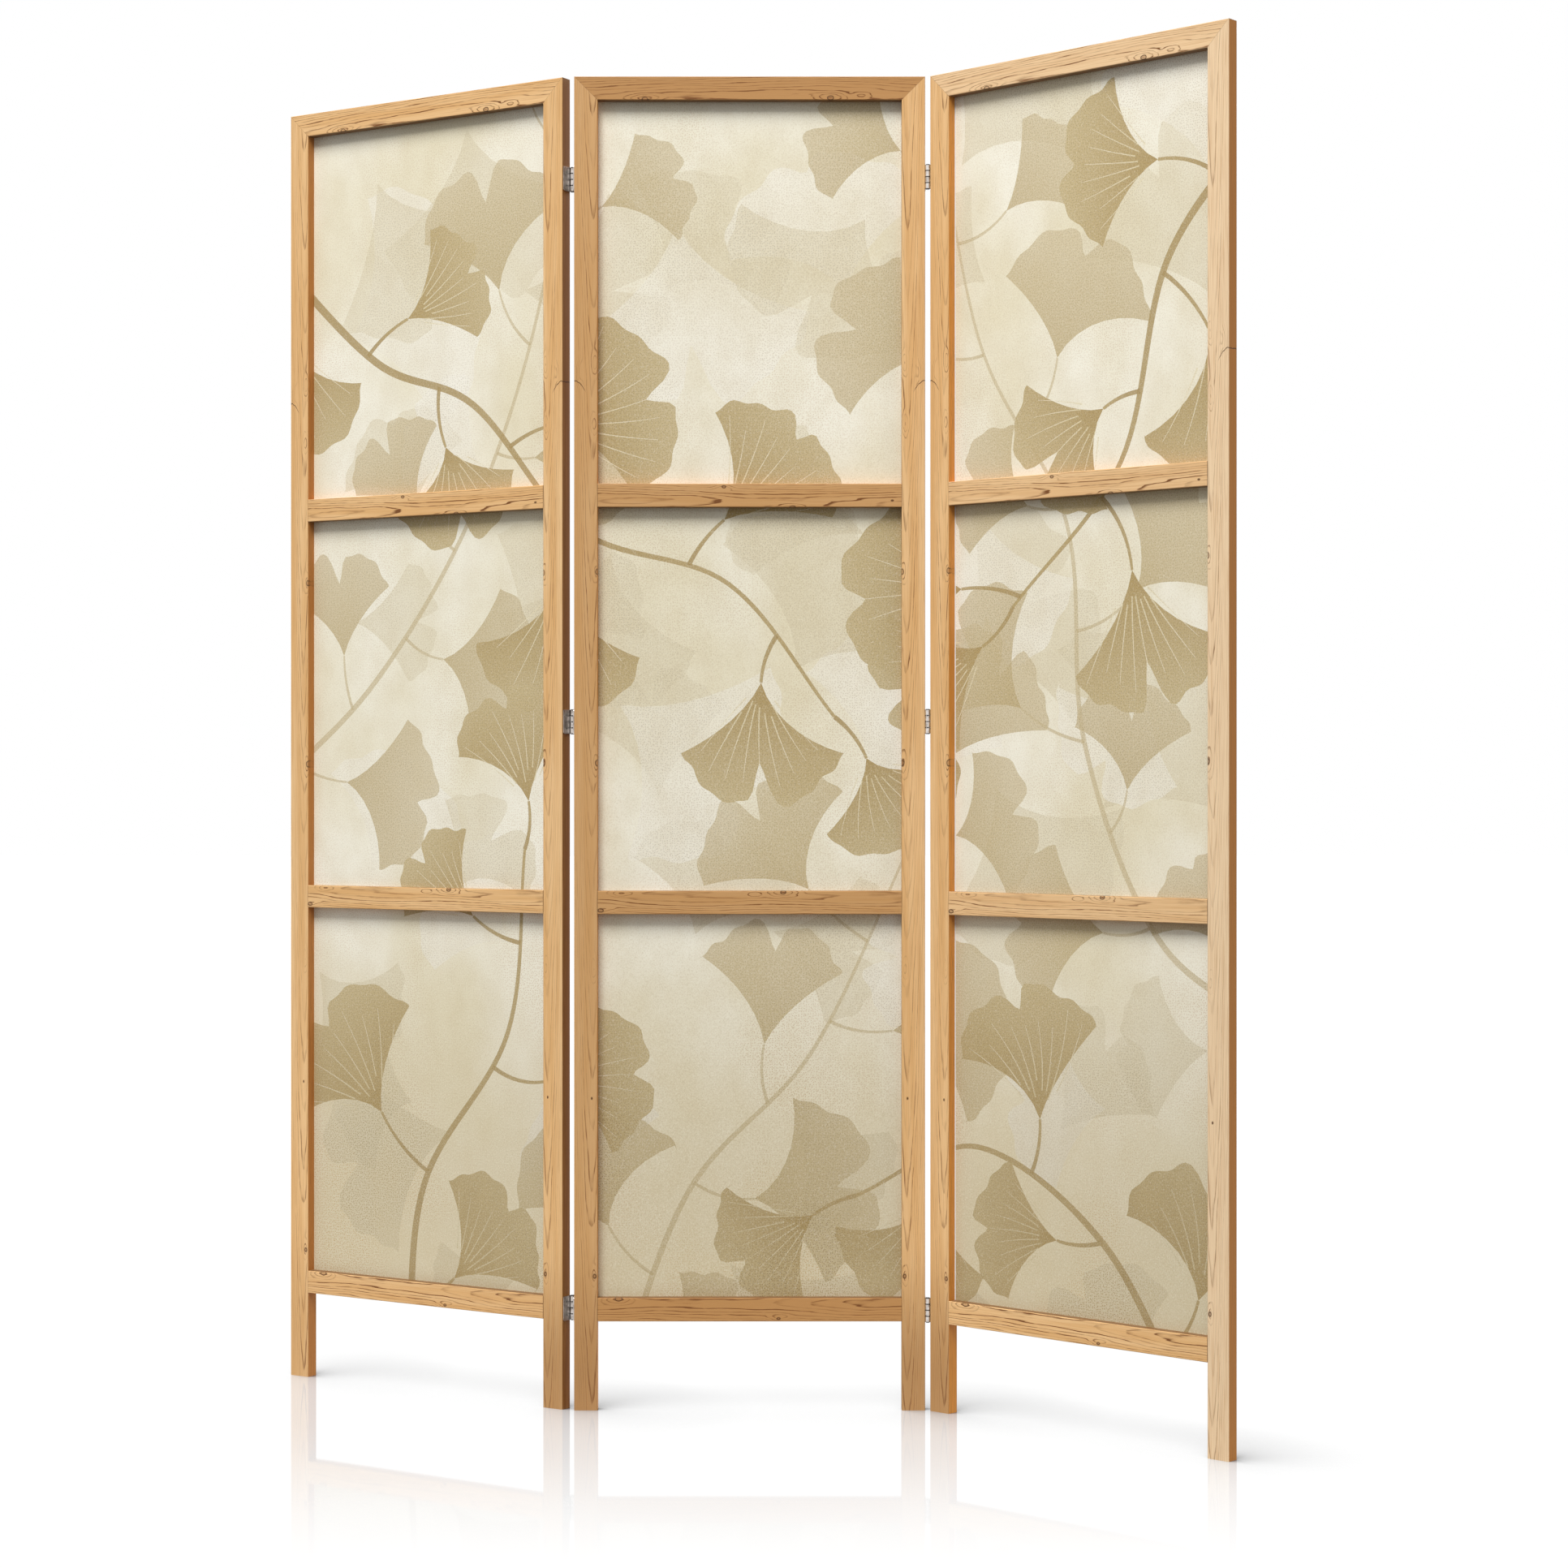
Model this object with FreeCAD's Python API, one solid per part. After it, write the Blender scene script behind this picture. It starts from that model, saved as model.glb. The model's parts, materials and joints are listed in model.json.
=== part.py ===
import FreeCAD, Part
import os

# Folding screen: three framed panels on legs, hinged in a zigzag. Millimetres, +Z up.
# Each panel is drawn in its own frame: X from its left edge, Y from front to back, Z from the floor.

# Panel frame
panel_width = 450.0
panel_height = 1710.0
panel_thickness = 18.0
leg_height = 114.0
stile_width = 30.0
rail_width = 30.0
edge_radius = 1.0
cell_count = 3

# Cloth and the rebate that it lies in
rebate_width = 9.0
rebate_depth = 5.0
cloth_thickness = 0.6
cloth_margin = 1.0

# Dowels in the frame joints
dowel_radius = 3.0
dowel_length = 24.0
dowel_spacing = 15.0
dowel_clearance = 0.05
dowel_end_gap = 0.5

# Staples that hold the cloth
staple_wire = 0.8
staple_crown = 9.0
staple_leg = 6.0
staple_clearance = 0.05
staples_per_cell = 3
staples_per_rail = 3

# Hinges
hinge_height = 31.0
middle_hinge_height = 883.0
leaf_thickness = 1.2
leaf_margin = 2.0
leaf_corner_radius = 2.0
barrel_radius = 3.3
axis_proud = 0.5
knuckle_count = 4
knuckle_gap = 0.4
coping_clearance = 0.3
pin_radius = 1.5
pin_clearance = 0.05
pin_head_radius = 2.4
pin_head_height = 0.6

# Countersunk screws in the hinge leaves
screw_head_radius = 2.3
screw_shank_radius = 1.25
screw_length = 12.0
screw_tip_length = 3.0
screw_end_gap = 0.5
screw_clearance = 0.05
screw_spacing = 17.0
recess_length = 2.6
recess_width = 0.5
recess_depth = 0.5

# Folds from straight in line, in degrees
left_fold = 31.0
right_fold = 41.0

# How far a cutter runs past the face that it opens
overrun = 2.0

# Worked out from the sizes above
panel_gap = 2 * barrel_radius
inner_left = stile_width
inner_right = panel_width - stile_width
opening_width = inner_right - inner_left
under_top_rail = panel_height - rail_width
over_bottom_rail = leg_height + rail_width
cell_height = (panel_height - leg_height - (cell_count + 1) * rail_width) / cell_count
cell_pitch = cell_height + rail_width
cloth_plane = panel_thickness - rebate_depth
cloth_back = cloth_plane + cloth_thickness
leaf_reach = axis_proud + panel_thickness - leaf_margin
knuckle_height = hinge_height / knuckle_count
screw_reach = (barrel_radius + leaf_reach) / 2
bottom_hinge_height = leg_height + rail_width / 2
hinge_heights = {
    "bottom": bottom_hinge_height,
    "middle": middle_hinge_height,
    "top": panel_height - bottom_hinge_height,
}
rail_levels = {"bottom_rail": 0, "lower_rail": 1, "upper_rail": 2}

# Where each hinge axis stands in a panel's frame, the side of it that the leaf is on (-1 left, 1 right)
# and which way the leaf reaches from it (-1 forwards, 1 back)
axis_behind = panel_thickness + axis_proud
axis_in_front = -axis_proud
axis_at_left = -panel_gap / 2
axis_at_right = panel_width + panel_gap / 2
panel_hinges = {
    "left_panel": {"left_joint": (axis_at_right, axis_behind, -1, -1)},
    "middle_panel": {
        "left_joint": (axis_at_left, axis_behind, 1, -1),
        "right_joint": (axis_at_right, axis_in_front, -1, 1),
    },
    "right_panel": {"right_joint": (axis_at_left, axis_in_front, 1, 1)},
}
hinged_stiles = {-1: "right_stile", 1: "left_stile"}
middle_rows = range(0, knuckle_count, 2)
outer_rows = range(1, knuckle_count, 2)

up = FreeCAD.Vector(0, 0, 1)
across = FreeCAD.Vector(1, 0, 0)
origin = FreeCAD.Vector(0, 0, 0)
full_turn = 360
parallel_tolerance_share = 1e-6


# Plain shapes

def block(first, second):
    """Box between two opposite corners, given in any order."""
    low = [min(pair) for pair in zip(first, second)]
    size = [abs(b - a) for a, b in zip(first, second)]
    return Part.makeBox(*size, FreeCAD.Vector(*low))


def upright_cylinder(radius, low, high):
    return Part.makeCylinder(radius, high - low, FreeCAD.Vector(0, 0, low))


def board(outline, thickness):
    """Outline in X and Z, made as thick as given from the front face back."""
    corners = [FreeCAD.Vector(x, 0, z) for x, z in outline]
    face = Part.Face(Part.makePolygon(corners + corners[:1]))
    return face.extrude(FreeCAD.Vector(0, thickness, 0))


def eased(solid, grain):
    """Solid with its edges along the grain rounded over."""
    edges = []
    for edge in solid.Edges:
        run = edge.lastVertex().Point - edge.firstVertex().Point
        if run.cross(grain).Length < parallel_tolerance_share * run.Length:
            edges.append(edge)
    return solid.makeFillet(edge_radius, edges)


def moved(shape, x, y, z):
    copy = shape.copy()
    copy.translate(FreeCAD.Vector(x, y, z))
    return copy


# Frame of one panel

def frame_members():
    """The six boards of a panel before any holes, with mitred top corners."""
    left_stile = [(0, 0), (inner_left, 0), (inner_left, under_top_rail), (0, panel_height)]
    right_stile = [(panel_width - x, z) for x, z in left_stile]
    top_rail = [left_stile[2], right_stile[2], right_stile[3], left_stile[3]]
    members = {
        "left_stile": eased(board(left_stile, panel_thickness), up),
        "right_stile": eased(board(right_stile, panel_thickness), up),
        "top_rail": eased(board(top_rail, panel_thickness), across),
    }
    for name, level in rail_levels.items():
        low = leg_height + level * cell_pitch
        high = low + rail_width
        thickness = cloth_plane if level else panel_thickness
        outline = [(inner_left, low), (inner_right, low), (inner_right, high), (inner_left, high)]
        members[name] = eased(board(outline, thickness), across)
    return members


def rebate():
    return block(
        (inner_left - rebate_width, cloth_plane, over_bottom_rail - rebate_width),
        (inner_right + rebate_width, panel_thickness + overrun, under_top_rail + rebate_width))


def cloth_sheet():
    inset = rebate_width - cloth_margin
    return block(
        (inner_left - inset, cloth_plane, over_bottom_rail - inset),
        (inner_right + inset, cloth_back, under_top_rail + inset))


# Dowels

def dowel_places():
    """Middle and direction of each dowel: two in each end of the cross rails, one across each mitre."""
    depth = cloth_plane / 2
    places = []
    for level in rail_levels.values():
        middle = leg_height + level * cell_pitch + rail_width / 2
        for x in (inner_left, inner_right):
            for side in (-1, 1):
                places.append((FreeCAD.Vector(x, depth, middle + side * dowel_spacing / 2), across))
    corner_height = panel_height - rail_width / 2
    for x, inwards in ((stile_width / 2, 1), (panel_width - stile_width / 2, -1)):
        square_to_mitre = FreeCAD.Vector(inwards * rail_width, 0, stile_width)
        places.append((FreeCAD.Vector(x, depth, corner_height), square_to_mitre.normalize()))
    return places


def dowel(place, clearance=0, end_gap=0):
    middle, direction = place
    half_length = dowel_length / 2 + end_gap
    start = middle - direction * half_length
    return Part.makeCylinder(dowel_radius + clearance, 2 * half_length, start, direction)


# Staples

def staple_places():
    """Middle of each staple in X and Z, and whether it lies along the upright."""
    places = []
    ledge = rebate_width / 2
    for x in (inner_left - ledge, inner_right + ledge):
        for level in range(cell_count):
            cell_bottom = over_bottom_rail + level * cell_pitch
            for count in range(staples_per_cell):
                step = cell_height / staples_per_cell
                places.append((x, cell_bottom + step * count + step / 2, True))
    for z in (over_bottom_rail - ledge, under_top_rail + ledge):
        for count in range(staples_per_rail):
            step = opening_width / staples_per_rail
            places.append((inner_left + step * count + step / 2, z, False))
    return places


def staple_bar(place, offset, half_length, half_width, front, back):
    """Bar of a staple, at an offset along the staple from its middle."""
    x, z, upright = place
    if upright:
        z = z + offset
        half_x, half_z = half_width, half_length
    else:
        x = x + offset
        half_x, half_z = half_length, half_width
    return block((x - half_x, front, z - half_z), (x + half_x, back, z + half_z))


def staple_legs(place, clearance=0):
    half_wire = staple_wire / 2 + clearance
    offset = (staple_crown - staple_wire) / 2
    front = cloth_back - staple_leg - clearance
    return [staple_bar(place, side * offset, half_wire, half_wire, front, cloth_back) for side in (-1, 1)]


def staple(place):
    crown = staple_bar(place, 0, staple_crown / 2, staple_wire / 2, cloth_back, cloth_back + staple_wire)
    return crown.fuse(staple_legs(place)).removeSplitter()


# Hinges, drawn round an upright axis at the origin with their middle at height 0

def screw_body(side, clearance=0, end_gap=0):
    """Countersunk screw with the flat of its head at the origin, pointing to the side given."""
    head_depth = screw_head_radius - screw_shank_radius
    outline = [
        (0, 0),
        (0, screw_head_radius + clearance),
        (head_depth, screw_shank_radius + clearance),
        (screw_length - screw_tip_length, screw_shank_radius + clearance),
        (screw_length + end_gap, 0),
    ]
    corners = [FreeCAD.Vector(side * x, y, 0) for x, y in outline]
    return Part.Face(Part.makePolygon(corners + corners[:1])).revolve(origin, across, full_turn)


def screw(side):
    """Screw with a cross recess in its head."""
    half_length = recess_length / 2
    half_width = recess_width / 2
    low = -side * overrun
    high = side * recess_depth
    tall = block((low, -half_width, -half_length), (high, half_width, half_length))
    wide = block((low, -half_length, -half_width), (high, half_length, half_width))
    return screw_body(side).cut([tall, wide])


def screw_places(side, reach):
    x = side * (panel_gap / 2 - leaf_thickness)
    return [(x, reach * screw_reach, end * screw_spacing / 2) for end in (-1, 1)]


def screw_holes(side, reach):
    hole = screw_body(side, screw_clearance, screw_end_gap)
    return [moved(hole, *place) for place in screw_places(side, reach)]


def leaf(side, reach, rows):
    """Hinge leaf with knuckles in its own rows and room for the other leaf's knuckles in the rest."""
    half_height = hinge_height / 2
    outside = side * panel_gap / 2
    inside = side * (panel_gap / 2 - leaf_thickness)
    plate = block((inside, 0, -half_height), (outside, reach * leaf_reach, half_height))
    far_edges = []
    for edge in plate.Edges:
        run = edge.lastVertex().Point - edge.firstVertex().Point
        is_far = abs(edge.CenterOfMass.y) > leaf_reach / 2
        if is_far and run.cross(across).Length < parallel_tolerance_share * run.Length:
            far_edges.append(edge)
    plate = plate.makeFillet(leaf_corner_radius, far_edges)
    knuckles = []
    copings = []
    for row in range(knuckle_count):
        low = row * knuckle_height - half_height
        high = low + knuckle_height
        if row in rows:
            knuckles.append(upright_cylinder(barrel_radius, low + knuckle_gap / 2, high - knuckle_gap / 2))
        else:
            copings.append(upright_cylinder(barrel_radius + coping_clearance, low, high))
    bore = upright_cylinder(pin_radius + pin_clearance, -half_height - overrun, half_height + overrun)
    body = plate.cut(copings).fuse(knuckles).removeSplitter()
    return body.cut([bore] + screw_holes(side, reach))


def hinge_pin():
    half_height = hinge_height / 2
    shank = upright_cylinder(pin_radius, -half_height, half_height)
    heads = [
        upright_cylinder(pin_head_radius, half_height, half_height + pin_head_height),
        upright_cylinder(pin_head_radius, -half_height - pin_head_height, -half_height),
    ]
    return shank.fuse(heads).removeSplitter()


# One panel with the hinge leaves and screws that it carries

def panel_pieces(panel):
    members = frame_members()
    pocket = rebate()
    dowel_holes = [dowel(place, dowel_clearance, dowel_end_gap) for place in dowel_places()]
    leg_holes = [hole for place in staple_places() for hole in staple_legs(place, staple_clearance)]
    pieces = {}
    for name, solid in members.items():
        pieces[f"{panel}_{name}"] = solid.cut([pocket] + dowel_holes + leg_holes)
    pieces[f"{panel}_cloth"] = cloth_sheet().cut(leg_holes)
    pieces[f"{panel}_dowels"] = Part.makeCompound([dowel(place) for place in dowel_places()])
    pieces[f"{panel}_staples"] = Part.makeCompound([staple(place) for place in staple_places()])
    for joint, (x, y, side, reach) in panel_hinges[panel].items():
        rows = middle_rows if panel == "middle_panel" else outer_rows
        stile = f"{panel}_{hinged_stiles[side]}"
        screws = []
        for level, z in hinge_heights.items():
            pieces[f"{joint}_{level}_leaf_on_{panel}"] = moved(leaf(side, reach, rows), x, y, z)
            pieces[stile] = pieces[stile].cut([moved(hole, x, y, z) for hole in screw_holes(side, reach)])
            for place in screw_places(side, reach):
                screws.append(moved(moved(screw(side), *place), x, y, z))
            if panel == "middle_panel":
                pieces[f"{joint}_{level}_pin"] = moved(hinge_pin(), x, y, z)
        pieces[f"{joint}_screws_in_{panel}"] = Part.makeCompound(screws)
    return pieces


# The panels stood in their folded places

def folded_place(panel, joint, fold):
    """Where an outer panel goes so that it turns by its fold about the middle panel's hinge axis."""
    own_x, own_y = panel_hinges[panel][joint][:2]
    axis_x, axis_y = panel_hinges["middle_panel"][joint][:2]
    to_axis = FreeCAD.Placement(FreeCAD.Vector(-own_x, -own_y, 0), FreeCAD.Rotation())
    turn = FreeCAD.Placement(FreeCAD.Vector(axis_x, axis_y, 0), FreeCAD.Rotation(up, -fold))
    return turn.multiply(to_axis)


panel_places = {
    "left_panel": folded_place("left_panel", "left_joint", left_fold),
    "middle_panel": FreeCAD.Placement(),
    "right_panel": folded_place("right_panel", "right_joint", right_fold),
}

screen = {}
for panel, place in panel_places.items():
    for name, shape in panel_pieces(panel).items():
        shape.Placement = place.multiply(shape.Placement)
        screen[name] = shape

# The origin is on the floor, in the middle of the space that the folded screen takes up
stiles = [shape for name, shape in screen.items() if name.endswith("stile")]
reach_box = Part.makeCompound(stiles).optimalBoundingBox(False, False)
to_origin = FreeCAD.Vector(-reach_box.Center.x, -reach_box.Center.y, 0)

os.makedirs("parts", exist_ok=True)
for name, shape in screen.items():
    shape.translate(to_origin)
    shape.exportStep(f"parts/{name}.step")

for joint, (x, y, side, reach) in panel_hinges["middle_panel"].items():
    print(joint, "axis at", round(x + to_origin.x, 4), round(y + to_origin.y, 4))
print(len(screen), "nodes,", "overall", [round(size, 2) for size in (reach_box.XLength, reach_box.YLength)])
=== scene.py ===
import json
import math
import random

import bpy
from mathutils import Matrix, Vector
from mathutils.geometry import delaunay_2d_cdt


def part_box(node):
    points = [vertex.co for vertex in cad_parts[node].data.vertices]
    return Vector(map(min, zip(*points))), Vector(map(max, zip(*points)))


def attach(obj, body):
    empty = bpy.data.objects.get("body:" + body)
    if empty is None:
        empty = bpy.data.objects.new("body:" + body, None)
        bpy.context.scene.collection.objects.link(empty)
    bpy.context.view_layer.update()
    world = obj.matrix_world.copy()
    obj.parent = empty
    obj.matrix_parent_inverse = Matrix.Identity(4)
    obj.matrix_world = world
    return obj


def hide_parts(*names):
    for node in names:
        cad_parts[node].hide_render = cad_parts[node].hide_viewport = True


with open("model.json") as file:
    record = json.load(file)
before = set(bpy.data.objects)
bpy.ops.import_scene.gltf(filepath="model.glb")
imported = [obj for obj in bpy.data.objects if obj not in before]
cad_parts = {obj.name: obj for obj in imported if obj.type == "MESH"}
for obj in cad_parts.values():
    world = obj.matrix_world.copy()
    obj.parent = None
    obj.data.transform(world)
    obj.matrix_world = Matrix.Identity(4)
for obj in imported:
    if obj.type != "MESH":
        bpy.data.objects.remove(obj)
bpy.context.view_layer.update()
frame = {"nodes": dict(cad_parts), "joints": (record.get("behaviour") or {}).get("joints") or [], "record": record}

# Folding screen: the finish of the pine frames and the hinges, and the printed cloth. Metres, +Z up.
# A panel's own frame has X from its left edge, Y from its front face back and Z from the floor.

mm = 0.001
panel_names = ("left_panel", "middle_panel", "right_panel")
nodes = frame["nodes"]
feet = {mount["name"]: Vector(mount["pos_m"]) for mount in frame["record"]["mounts"]}

# Sizes read from the middle panel, which stands square to the axes
stile_low, stile_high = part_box("middle_panel_left_stile")
bottom_rail_low, bottom_rail_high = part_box("middle_panel_bottom_rail")
cloth_low, cloth_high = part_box("middle_panel_cloth")
stile_width = stile_high.x - stile_low.x
panel_thickness = stile_high.y - stile_low.y
panel_height = stile_high.z
panel_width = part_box("middle_panel_right_stile")[1].x - stile_low.x
rail_width = bottom_rail_high.z - bottom_rail_low.z
cloth_front = cloth_low.y - stile_low.y
cloth_thickness = cloth_high.y - cloth_low.y
cloth_width = cloth_high.x - cloth_low.x
cloth_height = cloth_high.z - cloth_low.z
cloth_left = cloth_low.x - stile_low.x
left_axis = frame["joints"][0]["pos_m"]
panel_gap = 2 * (stile_low.x - left_axis[0])


def colour(red, green, blue):
    """Colour as it looks on a screen, 0 to 255, as the linear colour that shaders take."""
    def linear(value):
        share = value / 255
        return share / 12.92 if share <= 0.04045 else ((share + 0.055) / 1.055) ** 2.4
    return (linear(red), linear(green), linear(blue), 1.0)


# Panels

class Panel:
    """Where a panel stands, from the places of its two feet."""

    def __init__(self, name):
        left = feet[f"{name}_left_foot"]
        run = feet[f"{name}_right_foot"] - left
        self.name = name
        self.turn = math.atan2(run.y, run.x)
        rotation = Matrix.Rotation(self.turn, 4, "Z")
        corner = left - rotation @ Vector((stile_width / 2, panel_thickness / 2, 0))
        self.to_world = Matrix.Translation(corner) @ rotation
        self.from_world = self.to_world.inverted()


panels = {name: Panel(name) for name in panel_names}


# Shader nodes

class Shader:
    """A material or world, with calls that add a node to it and give back what the node puts out."""

    def __init__(self, name, store=bpy.data.materials):
        self.holder = store.new(name)
        self.holder.use_nodes = True
        self.tree = self.holder.node_tree
        self.tree.nodes.clear()

    def node(self, kind, inputs, **settings):
        node = self.tree.nodes.new(kind)
        for key, value in settings.items():
            setattr(node, key, value)
        for key, value in inputs.items():
            if isinstance(value, bpy.types.NodeSocket):
                self.tree.links.new(value, node.inputs[key])
            else:
                node.inputs[key].default_value = value
        return node

    def math(self, operation, *values):
        return self.node("ShaderNodeMath", dict(enumerate(values)), operation=operation).outputs[0]

    def vector(self, operation, *values):
        node = self.node("ShaderNodeVectorMath", dict(enumerate(values)), operation=operation)
        return node.outputs["Value" if operation == "LENGTH" else "Vector"]

    def split(self, place):
        return self.node("ShaderNodeSeparateXYZ", {0: place}).outputs[:]

    def join(self, x, y, z):
        return self.node("ShaderNodeCombineXYZ", {0: x, 1: y, 2: z}).outputs[0]

    def ease(self, value, low, high, start=0.0, end=1.0):
        """Smooth step from start to end as the value goes from low to high. A ramp holds these numbers."""
        inputs = {"Value": value, "From Min": low, "From Max": high, "To Min": start, "To Max": end}
        return self.node("ShaderNodeMapRange", inputs, interpolation_type="SMOOTHSTEP").outputs[0]

    def noise(self, place, scale=1.0, detail=2.0):
        inputs = {"Vector": place, "Scale": scale, "Detail": detail}
        return self.node("ShaderNodeTexNoise", inputs).outputs["Fac"]

    def mix(self, share, first, second):
        return self.node("ShaderNodeMix", {0: share, 6: first, 7: second}, data_type="RGBA").outputs[2]

    def bump(self, height, strength, distance):
        inputs = {"Height": height, "Strength": strength, "Distance": distance}
        return self.node("ShaderNodeBump", inputs).outputs[0]

    def object_place(self):
        return self.node("ShaderNodeTexCoord", {}).outputs["Object"]

    def finish(self, **inputs):
        """Principled surface with the inputs given, spaces in their names written as underscores."""
        named = {key.replace("_", " "): value for key, value in inputs.items()}
        surface = self.node("ShaderNodeBsdfPrincipled", named).outputs[0]
        self.node("ShaderNodeOutputMaterial", {"Surface": surface})
        return self.holder


# Pine. A board's frame has U along the grain, V across the face from the edge with the lively figure
# and W from the front face back, all in millimetres.

honey_pale = colour(234, 193, 140)
honey_deep = colour(222, 175, 117)
# Painted shade: deeper, darker colours given to the sides of the boards
shaded_side_honey = colour(226, 146, 54)
shaded_edge_honey = colour(194, 117, 8)
# Brown of the boards' own tone, also used as painted shade
honey_brown = colour(184, 136, 83)
# Painted shade that darkens the legs towards the floor
foot_shade_brown = colour(156, 114, 70)
# Painted shade: darker colours for the sides of the rails and for the inner side of a right stile
shaded_shelf_honey = colour(106, 78, 50)
shaded_far_side_honey = colour(154, 116, 76)
# Painted light: pale colour for the boards that stand in brighter light
painted_light_bleached = colour(240, 214, 178)
fibre_colour = colour(186, 134, 78)
line_colour = colour(118, 72, 33)
knot_colour = colour(122, 72, 34)
knot_rim_colour = colour(74, 42, 19)

# Annual rings: their spacing, how the heart of the tree wanders, and the waves in them
ring_spacing = 1.9
heart_wander = 7.0
heart_side_lengths = (420, 0, 0)
heart_depth_lengths = (520, 0, 0)
ring_waves = [((130, 15, 15), 1.9), ((60, 8, 8), 0.7), ((24, 3, 3), 0.25)]

# Dark late wood at the end of each ring, uneven from ring to ring and broken along the grain
late_wood_rise = (0.64, 0.93)
late_wood_fall = (0.93, 1.0, 1.0, 0.0)
ring_unevenness = 1.7
faintest_ring = 0.25
break_lengths = (22, 3, 3)
break_ramp = (0.34, 0.6, 0.25, 1.0)
steep_enough = 0.3
# Painted light: fainter lines on the boards that it pales
painted_light_line_share = 0.8
lively_ramp = (14.0, 25.0)
knot_figure = 1.1

# Fibres, patches of tone, and painted shade on the feet and the sides
fibre_lengths = (60, 1, 1)
fibre_ramp = (0.42, 0.75)
fibre_share = 0.4
tone_lengths = (260, 11, 11)
tone_ramp = (0.3, 0.7)
foot_wear_heights = (40.0, 240.0)
inner_to_outer = (14.0, 26.0)
side_shade_share = 0.9
arris_start = 0.3
arris_end = 1.4

# Knots: stretch along the grain, waves in the outline, pull on the rings, core and rim
eye_stretch = 3.0
core_stretch = 1.5
knot_wave_lengths = (14, 4, 4)
knot_wave = 0.7
pull_share = 0.5
core_share = 0.6
rim_ramp = (0.2, 0.9, 1.0, 0.0)
knot_depth_ramp = (0.5, 7.0, 0.85, 0.2)

# Crack in a stile, and the hairlines at the joints
check_along = 1320
check_bend = 0.065
check_wave_lengths = (6, 3, 3)
check_wave = 1.0
check_ramp = (0.35, 1.0, 0.85, 0.0)
check_start = (14.0, 18.0)
butt_ramp = (0.1, 0.45, 0.7, 0.0)
mitre_ramp = (0.1, 0.5, 0.35, 0.0)

# Relief and gloss
fibre_relief = -0.5
line_relief = 0.6
pine_roughness = 0.5
fibre_roughness = 0.1
line_roughness = -0.12
pine_specular = 0.25
pine_bump = 0.25
pine_bump_depth = 0.2 * mm

# Each use of noise has its own stretch of it, given by a seed
depth_seed = 7
wave_seed = 13
wave_seed_step = 2
break_seed = 23
check_seed = 31
seed_shift_shares = (1, 0.37, 0.61)
noise_gain = 2.6


def board_place(shader, panel, board):
    """Board frame from the object's own coordinates."""
    inputs = {
        "Vector": shader.object_place(),
        "Location": panel.from_world.to_translation() / mm,
        "Rotation": (0, 0, -panel.turn),
        "Scale": (1 / mm,) * 3,
    }
    x, y, z = shader.split(shader.node("ShaderNodeMapping", inputs).outputs[0])
    along, across = (z, x) if board["upright"] else (x, z)
    outwards = shader.math("MULTIPLY_ADD", across, board["outwards"], -board["outwards"] * board["edge"])
    return shader.join(along, outwards, y)


def stretched(shader, place, lengths, seed):
    """Place divided by a length along each axis, then shifted to its own stretch of noise."""
    shares = [1 / length if length else 0 for length in lengths]
    shift = [seed * share for share in seed_shift_shares]
    return shader.vector("MULTIPLY_ADD", place, shares, shift)


def swing(shader, place, lengths, seed, reach):
    """Noise that swings by about the reach given to either side of 0."""
    value = shader.noise(stretched(shader, place, lengths, seed), detail=1.0)
    return shader.math("MULTIPLY_ADD", value, noise_gain * reach, -noise_gain * reach / 2)


def growth_rings(shader, place, board):
    """Distance from the heart of the tree, which lies behind the board and drifts along it so that the
    rings come to points down the board, and how steeply the rings meet the face."""
    seed = board["seed"]
    wobble = board["wobble"]
    u, v, w = shader.split(place)
    side = shader.math("ADD", v, swing(shader, place, heart_side_lengths, seed, heart_wander * wobble))
    side = shader.math("SUBTRACT", side, board["heart"])
    depth_swing = swing(shader, place, heart_depth_lengths, seed + depth_seed, heart_wander * wobble)
    depth = shader.math("ADD", shader.math("ADD", w, depth_swing), board["heart_depth"])
    radius = shader.vector("LENGTH", shader.join(side, depth, 0.0))
    steepness = shader.math("DIVIDE", shader.math("ABSOLUTE", side), radius)
    radius = shader.math("MULTIPLY_ADD", u, -board["drift"], radius)
    for count, (lengths, reach) in enumerate(ring_waves):
        wave = swing(shader, place, lengths, seed + wave_seed + wave_seed_step * count, reach * wobble)
        radius = shader.math("ADD", radius, wave)
    return radius, steepness


def knot(shader, place, along, across, radius, reach, filled):
    """How near the knot is, from 0 at its reach to 1, the pull it has on the rings, its core and its rim."""
    def distance(stretch):
        offset = (-along / stretch, -across, 0.0)
        away = shader.vector("MULTIPLY_ADD", place, (1 / stretch, 1.0, 0.0), offset)
        wave = swing(shader, place, knot_wave_lengths, along, knot_wave)
        return shader.math("ADD", shader.vector("LENGTH", away), wave)

    near = shader.ease(distance(eye_stretch), 0.0, reach, 1.0, 0.0)
    pull = shader.math("MULTIPLY", near, reach * pull_share)
    if not radius:
        return near, pull, 0.0, 0.0
    off_centre = distance(core_stretch)
    core = shader.ease(off_centre, radius * core_share, radius, filled, 0.0)
    off_rim = shader.math("ABSOLUTE", shader.math("SUBTRACT", off_centre, radius))
    return near, pull, core, shader.ease(off_rim, *rim_ramp)


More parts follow.
